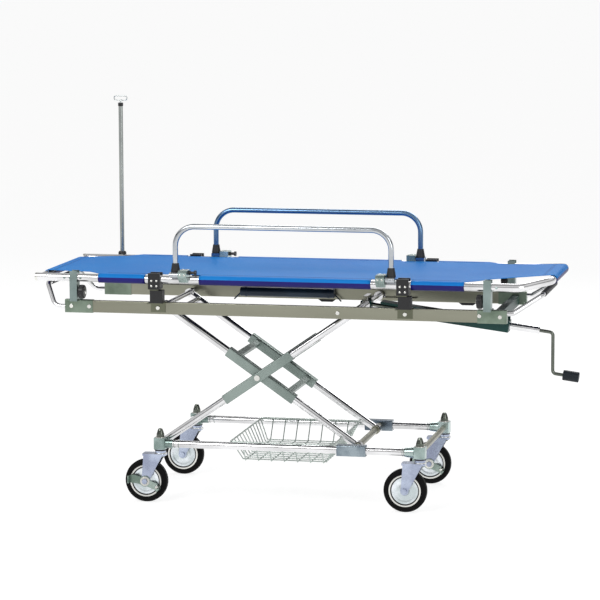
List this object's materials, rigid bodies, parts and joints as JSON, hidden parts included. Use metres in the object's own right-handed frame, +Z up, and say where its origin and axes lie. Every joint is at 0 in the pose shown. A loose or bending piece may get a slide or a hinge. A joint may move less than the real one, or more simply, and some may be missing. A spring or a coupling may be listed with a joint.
{
  "type": "ambulance cot",
  "caption": "Wheeled patient cot with a crank-raised scissor, flat-bar carriage, lift-off canvas stretcher, folding guard rails, wire basket and drip pole.",
  "frame": {"origin": "on the floor under the middle of the overall length and width", "axes": "+X towards the crank end along the length, +Y across to the drip pole side, +Z up"},
  "size_m": [1.8581, 0.652, 1.3772],
  "materials": {
    "chrome_tube": "polished",
    "blue_chrome": "polished, blue tint",
    "zinc_block": "zinc plated, satin",
    "zinc_bright": "zinc plated",
    "bracket_zinc": "zinc plated, satin",
    "champagne": "satin",
    "sleeve_grey": "satin",
    "slider_grey": "satin",
    "basket_wire": "satin coated wire",
    "fork_zinc": "zinc plated",
    "hub_zinc": "zinc plated",
    "tyre_rubber": "matte",
    "brake_zinc": "zinc plated",
    "housing_teal": "gloss",
    "black_rubber": "matte",
    "black_plastic": "matte",
    "grip_slate": "satin",
    "tube_navy": "gloss",
    "canvas_blue": "coated, glossy",
    "pole_steel": "satin",
    "hook_bright": "polished"
  },
  "bodies": {
    "base": {"base_rails": "chrome_tube", "corner_blocks": "zinc_block", "base_cross_tubes": "champagne", "kingpins": "zinc_bright", "basket": "basket_wire"},
    "outer_scissor": {"outer_legs": "chrome_tube", "outer_sleeves": "sleeve_grey", "outer_top_shaft": "chrome_tube", "centre_bolts": "zinc_bright"},
    "inner_scissor": {"inner_leg_frame": "chrome_tube", "inner_sleeve_frame": "sleeve_grey"},
    "slider": {"slider_blocks": "slider_grey", "slider_cross_tube": "champagne"},
    "carriage": {"side_bars": "champagne", "carriage_shaft": "chrome_tube", "end_cross": "housing_teal", "end_caps": "zinc_block", "handles": "chrome_tube", "handle_grips": "black_rubber", "brackets": "bracket_zinc", "risers": "black_rubber", "cradles": "black_plastic", "posts": "zinc_block", "bar_bolts": "zinc_bright", "storage_tube": "tube_navy"},
    "nut": {"nut_block": "housing_teal"},
    "screw_unit": {"screw_housing": "housing_teal", "screw_tube": "chrome_tube"},
    "crank": {"lift_screw": "zinc_bright", "crank_arm": "zinc_bright"},
    "grip": {"crank_grip": "grip_slate"},
    "stretcher": {"stretcher_frame": "chrome_tube", "canvas": "canvas_blue", "rail_clamps": "zinc_block"},
    "guard_rail_front": {"guard_front": "chrome_tube", "guard_collars_front": "black_rubber"},
    "plunger_front_body": {"plunger_front": "black_plastic"},
    "guard_rail_rear": {"guard_rear": "blue_chrome", "guard_collars_rear": "black_rubber"},
    "plunger_rear_body": {"plunger_rear": "black_plastic"},
    "pole": {"iv_pole": "pole_steel"},
    "hook": {"iv_hook": "hook_bright"},
    "fork_fl": {"caster_fork_fl": "fork_zinc"},
    "wheel_fl": {"wheel_hub_fl": "hub_zinc", "tyre_fl": "tyre_rubber"},
    "knob_fl": {"clamp_knob_fl": "black_plastic"},
    "fork_fr": {"caster_fork_fr": "fork_zinc"},
    "wheel_fr": {"wheel_hub_fr": "hub_zinc", "tyre_fr": "tyre_rubber"},
    "knob_fr": {"clamp_knob_fr": "black_plastic"},
    "fork_rl": {"caster_fork_rl": "fork_zinc"},
    "wheel_rl": {"wheel_hub_rl": "hub_zinc", "tyre_rl": "tyre_rubber"},
    "knob_rl": {"clamp_knob_rl": "black_plastic"},
    "fork_rr": {"caster_fork_rr": "fork_zinc"},
    "wheel_rr": {"wheel_hub_rr": "hub_zinc", "tyre_rr": "tyre_rubber"},
    "knob_rr": {"clamp_knob_rr": "black_plastic"},
    "pedal_fl": {"brake_fl": "brake_zinc"},
    "pedal_rr": {"brake_rr": "brake_zinc"}
  },
  "joints": [
    {"name": "lift", "type": "hinge", "parent": "base", "child": "outer_scissor", "pos_m": [-0.49715, 0, 0.206], "axis": [0, 1, 0], "range_deg": [0, 19.5]},
    {"name": "scissor_centre", "type": "hinge", "parent": "outer_scissor", "child": "inner_scissor", "pos_m": [-0.1557, 0, 0.44275], "axis": [0, 1, 0], "range_deg": [-39.5, 0.5]},
    {"name": "slider_level", "type": "hinge", "parent": "inner_scissor", "child": "slider", "pos_m": [0.18576, 0, 0.206], "axis": [0, 1, 0], "range_deg": [-0.5, 20]},
    {"name": "carriage_level", "type": "hinge", "parent": "inner_scissor", "child": "carriage", "pos_m": [-0.49715, 0, 0.6795], "axis": [0, 1, 0], "range_deg": [-0.5, 20]},
    {"name": "nut_level", "type": "hinge", "parent": "outer_scissor", "child": "nut", "pos_m": [0.18576, 0, 0.6795], "axis": [0, 1, 0], "range_deg": [-20, 0.5]},
    {"name": "screw_tilt", "type": "hinge", "parent": "carriage", "child": "screw_unit", "pos_m": [0.67085, 0, 0.617], "axis": [0, 1, 0], "range_deg": [-0.2, 3]},
    {"name": "crank_turn", "type": "hinge", "parent": "screw_unit", "child": "crank", "pos_m": [0.67085, 0, 0.617], "axis": [0.9918, 0, -0.1278], "range_deg": [-5, 2702.1]},
    {"name": "grip_spin", "type": "hinge", "parent": "crank", "child": "grip", "pos_m": [0.89935, 0, 0.44532], "axis": [0.9918, 0, -0.1278], "continuous": true},
    {"name": "stretcher_lift_off", "type": "slide", "parent": "carriage", "child": "stretcher", "axis": [0, 0, 1], "range_m": [0, 0.2]},
    {"name": "guard_front_fold", "type": "hinge", "parent": "stretcher", "child": "guard_rail_front", "pos_m": [-0.05265, -0.312, 0.803], "axis": [1, 0, 0], "range_deg": [0, 172]},
    {"name": "plunger_front_pull", "type": "slide", "parent": "stretcher", "child": "plunger_front_body", "axis": [1, 0, 0], "range_m": [0, 0.008], "stiffness_N_per_m": 400, "springref_m": -0.004},
    {"name": "guard_rear_fold", "type": "hinge", "parent": "stretcher", "child": "guard_rail_rear", "pos_m": [-0.05265, 0.312, 0.803], "axis": [-1, 0, 0], "range_deg": [0, 172]},
    {"name": "plunger_rear_pull", "type": "slide", "parent": "stretcher", "child": "plunger_rear_body", "axis": [1, 0, 0], "range_m": [0, 0.008], "stiffness_N_per_m": 400, "springref_m": -0.004},
    {"name": "pole_lift_out", "type": "slide", "parent": "carriage", "child": "pole", "axis": [0, 0, 1], "range_m": [0, 0.09]},
    {"name": "hook_turn", "type": "hinge", "parent": "pole", "child": "hook", "pos_m": [-0.78915, 0.3125, 1.35], "axis": [0, 0, 1], "continuous": true},
    {"name": "swivel_fl", "type": "hinge", "parent": "base", "child": "fork_fl", "pos_m": [-0.49715, -0.253, 0.17], "axis": [0, 0, 1], "continuous": true},
    {"name": "roll_fl", "type": "hinge", "parent": "fork_fl", "child": "wheel_fl", "pos_m": [-0.54715, -0.253, 0.075], "axis": [0, 1, 0], "continuous": true},
    {"name": "swivel_fr", "type": "hinge", "parent": "base", "child": "fork_fr", "pos_m": [0.41685, -0.253, 0.17], "axis": [0, 0, 1], "continuous": true},
    {"name": "roll_fr", "type": "hinge", "parent": "fork_fr", "child": "wheel_fr", "pos_m": [0.36685, -0.253, 0.075], "axis": [0, 1, 0], "continuous": true},
    {"name": "swivel_rl", "type": "hinge", "parent": "base", "child": "fork_rl", "pos_m": [-0.49715, 0.253, 0.17], "axis": [0, 0, 1], "continuous": true},
    {"name": "roll_rl", "type": "hinge", "parent": "fork_rl", "child": "wheel_rl", "pos_m": [-0.54715, 0.253, 0.075], "axis": [0, 1, 0], "continuous": true},
    {"name": "swivel_rr", "type": "hinge", "parent": "base", "child": "fork_rr", "pos_m": [0.41685, 0.253, 0.17], "axis": [0, 0, 1], "continuous": true},
    {"name": "roll_rr", "type": "hinge", "parent": "fork_rr", "child": "wheel_rr", "pos_m": [0.36685, 0.253, 0.075], "axis": [0, 1, 0], "continuous": true},
    {"name": "brake_fl_pedal", "type": "hinge", "parent": "fork_fl", "child": "pedal_fl", "pos_m": [-0.54715, -0.253, 0.075], "axis": [0, 1, 0], "range_deg": [-8, 8]},
    {"name": "brake_rr_pedal", "type": "hinge", "parent": "fork_rr", "child": "pedal_rr", "pos_m": [0.36685, 0.253, 0.075], "axis": [0, 1, 0], "range_deg": [-8, 8]},
    {"name": "clamp_knob_fl_turn", "type": "hinge", "parent": "carriage", "child": "knob_fl", "pos_m": [-0.77615, -0.288, 0.735], "axis": [1, 0, 0], "continuous": true},
    {"name": "clamp_knob_fr_turn", "type": "hinge", "parent": "carriage", "child": "knob_fr", "pos_m": [0.63885, -0.288, 0.735], "axis": [1, 0, 0], "continuous": true},
    {"name": "clamp_knob_rl_turn", "type": "hinge", "parent": "carriage", "child": "knob_rl", "pos_m": [-0.77615, 0.288, 0.735], "axis": [1, 0, 0], "continuous": true},
    {"name": "clamp_knob_rr_turn", "type": "hinge", "parent": "carriage", "child": "knob_rr", "pos_m": [0.63885, 0.288, 0.735], "axis": [1, 0, 0], "continuous": true}
  ],
  "couplings": [
    {"joint": "scissor_centre", "follows": "lift", "ratio": -2},
    {"joint": "slider_level", "follows": "lift", "ratio": 1},
    {"joint": "carriage_level", "follows": "lift", "ratio": 1},
    {"joint": "nut_level", "follows": "lift", "ratio": -0.87981},
    {"joint": "screw_tilt", "follows": "lift", "ratio": 0.12019},
    {"joint": "crank_turn", "follows": "lift", "ratio": 138.31}
  ]
}
